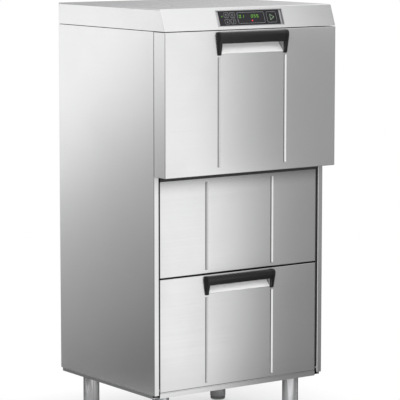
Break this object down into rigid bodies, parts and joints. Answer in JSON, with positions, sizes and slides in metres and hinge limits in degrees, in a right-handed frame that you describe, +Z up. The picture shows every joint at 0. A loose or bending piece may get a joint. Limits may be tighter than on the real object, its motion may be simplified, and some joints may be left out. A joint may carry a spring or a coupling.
{
  "type": "dishwasher",
  "caption": "Free-standing front-loading dishwasher on legs: drop-down wash door under a sloped control fascia, service panel and lower compartment with its own drop-down door.",
  "frame": {"origin": "on the floor under the middle of the overall box", "axes": "+Z up, the door faces -Y, +X to the right of a person who faces the door"},
  "size_m": [0.6, 0.574, 1.25],
  "materials": {
    "stainless_skin": "satin",
    "stainless_inner": "satin",
    "polished_steel": "polished",
    "handle_black": "gloss",
    "bezel_metal": "satin",
    "control_glass": "gloss",
    "key_black": "gloss",
    "board_green": "matte",
    "seal_rubber": "matte",
    "pump_plastic": "matte",
    "motor_metal": "cast",
    "boiler_jacket": "foil-faced jacket",
    "valve_brass": "machined"
  },
  "bodies": {
    "cabinet": {"side_panel_left": "stainless_skin", "side_panel_right": "stainless_skin", "rear_panel": "stainless_skin", "connection_plate": "stainless_skin", "base_tray": "stainless_skin", "top_cover": "stainless_skin", "middle_panel": "stainless_skin", "wash_tub": "stainless_inner", "rack_rails": "stainless_inner", "equipment_shelf": "stainless_inner", "riser_duct": "stainless_inner", "tank_filter": "stainless_inner", "hinge_brackets": "stainless_inner", "lower_hinge_pins": "stainless_inner", "torsion_bar": "stainless_inner", "sump_well": "stainless_inner", "leg_tubes": "polished_steel", "lower_spindle": "polished_steel", "upper_spindle": "polished_steel", "spindle_nuts": "polished_steel", "overflow_pipe": "polished_steel", "tank_heater": "polished_steel", "control_bezel": "bezel_metal", "control_glass": "control_glass", "control_board": "board_green", "door_gasket": "seal_rubber", "suction_hose": "seal_rubber", "drain_hose": "seal_rubber", "wash_pump_body": "pump_plastic", "drain_pump": "pump_plastic", "dosing_pumps": "pump_plastic", "delivery_pipe": "pump_plastic", "drain_spigot": "pump_plastic", "cable_gland": "pump_plastic", "electrical_box": "pump_plastic", "wash_pump_motor": "motor_metal", "boiler": "boiler_jacket", "inlet_valve": "valve_brass", "feed_pipe": "valve_brass"},
    "door": {"door_skin": "stainless_skin", "door_liner": "stainless_inner", "door_handle": "handle_black", "door_hinge_arms": "stainless_inner"},
    "lower_door": {"lower_door_skin": "stainless_skin", "lower_door_liner": "stainless_inner", "lower_door_handle": "handle_black"},
    "lower_wash_arm": {"lower_wash_arm": "polished_steel"},
    "lower_rinse_arm": {"lower_rinse_arm": "polished_steel"},
    "upper_wash_arm": {"upper_wash_arm": "polished_steel"},
    "upper_rinse_arm": {"upper_rinse_arm": "polished_steel"},
    "impeller": {"wash_pump_impeller": "pump_plastic"},
    "key_power": {"key_power": "key_black"},
    "key_program": {"key_program": "key_black"},
    "key_temperature": {"key_temperature": "key_black"},
    "key_drain": {"key_drain": "key_black"},
    "key_start": {"key_start": "key_black"},
    "foot_front_left": {"foot_front_left": "polished_steel"},
    "foot_front_right": {"foot_front_right": "polished_steel"},
    "foot_rear_left": {"foot_rear_left": "polished_steel"},
    "foot_rear_right": {"foot_rear_right": "polished_steel"}
  },
  "joints": [
    {"name": "door_hinge", "type": "hinge", "parent": "cabinet", "child": "door", "pos_m": [0, -0.231, 0.7875], "axis": [1, 0, 0], "range_deg": [0, 90]},
    {"name": "lower_door_hinge", "type": "hinge", "parent": "cabinet", "child": "lower_door", "pos_m": [0, -0.205, 0.169], "axis": [1, 0, 0], "range_deg": [0, 90]},
    {"name": "lower_wash_arm_spin", "type": "hinge", "parent": "cabinet", "child": "lower_wash_arm", "pos_m": [0, -0.0035, 0.764], "axis": [0, 0, 1], "continuous": true},
    {"name": "lower_rinse_arm_spin", "type": "hinge", "parent": "cabinet", "child": "lower_rinse_arm", "pos_m": [0, -0.0035, 0.764], "axis": [0, 0, 1], "continuous": true},
    {"name": "upper_wash_arm_spin", "type": "hinge", "parent": "cabinet", "child": "upper_wash_arm", "pos_m": [0, -0.0035, 1.142], "axis": [0, 0, 1], "continuous": true},
    {"name": "upper_rinse_arm_spin", "type": "hinge", "parent": "cabinet", "child": "upper_rinse_arm", "pos_m": [0, -0.0035, 1.142], "axis": [0, 0, 1], "continuous": true},
    {"name": "impeller_spin", "type": "hinge", "parent": "cabinet", "child": "impeller", "pos_m": [0, 0.0465, 0.575], "axis": [1, 0, 0], "continuous": true},
    {"name": "key_power_press", "type": "slide", "parent": "cabinet", "child": "key_power", "axis": [0, 0.9366, -0.3503], "range_m": [0, 0.0008], "stiffness_N_per_m": 600, "springref_m": -0.0008},
    {"name": "key_program_press", "type": "slide", "parent": "cabinet", "child": "key_program", "axis": [0, 0.9366, -0.3503], "range_m": [0, 0.0008], "stiffness_N_per_m": 600, "springref_m": -0.0008},
    {"name": "key_temperature_press", "type": "slide", "parent": "cabinet", "child": "key_temperature", "axis": [0, 0.9366, -0.3503], "range_m": [0, 0.0008], "stiffness_N_per_m": 600, "springref_m": -0.0008},
    {"name": "key_drain_press", "type": "slide", "parent": "cabinet", "child": "key_drain", "axis": [0, 0.9366, -0.3503], "range_m": [0, 0.0008], "stiffness_N_per_m": 600, "springref_m": -0.0008},
    {"name": "key_start_press", "type": "slide", "parent": "cabinet", "child": "key_start", "axis": [0, 0.9366, -0.3503], "range_m": [0, 0.0008], "stiffness_N_per_m": 600, "springref_m": -0.0008},
    {"name": "foot_front_left_screw", "type": "slide", "parent": "cabinet", "child": "foot_front_left", "axis": [0, 0, -1], "range_m": [0, 0.02]},
    {"name": "foot_front_right_screw", "type": "slide", "parent": "cabinet", "child": "foot_front_right", "axis": [0, 0, -1], "range_m": [0, 0.02]},
    {"name": "foot_rear_left_screw", "type": "slide", "parent": "cabinet", "child": "foot_rear_left", "axis": [0, 0, -1], "range_m": [0, 0.02]},
    {"name": "foot_rear_right_screw", "type": "slide", "parent": "cabinet", "child": "foot_rear_right", "axis": [0, 0, -1], "range_m": [0, 0.02]}
  ]
}
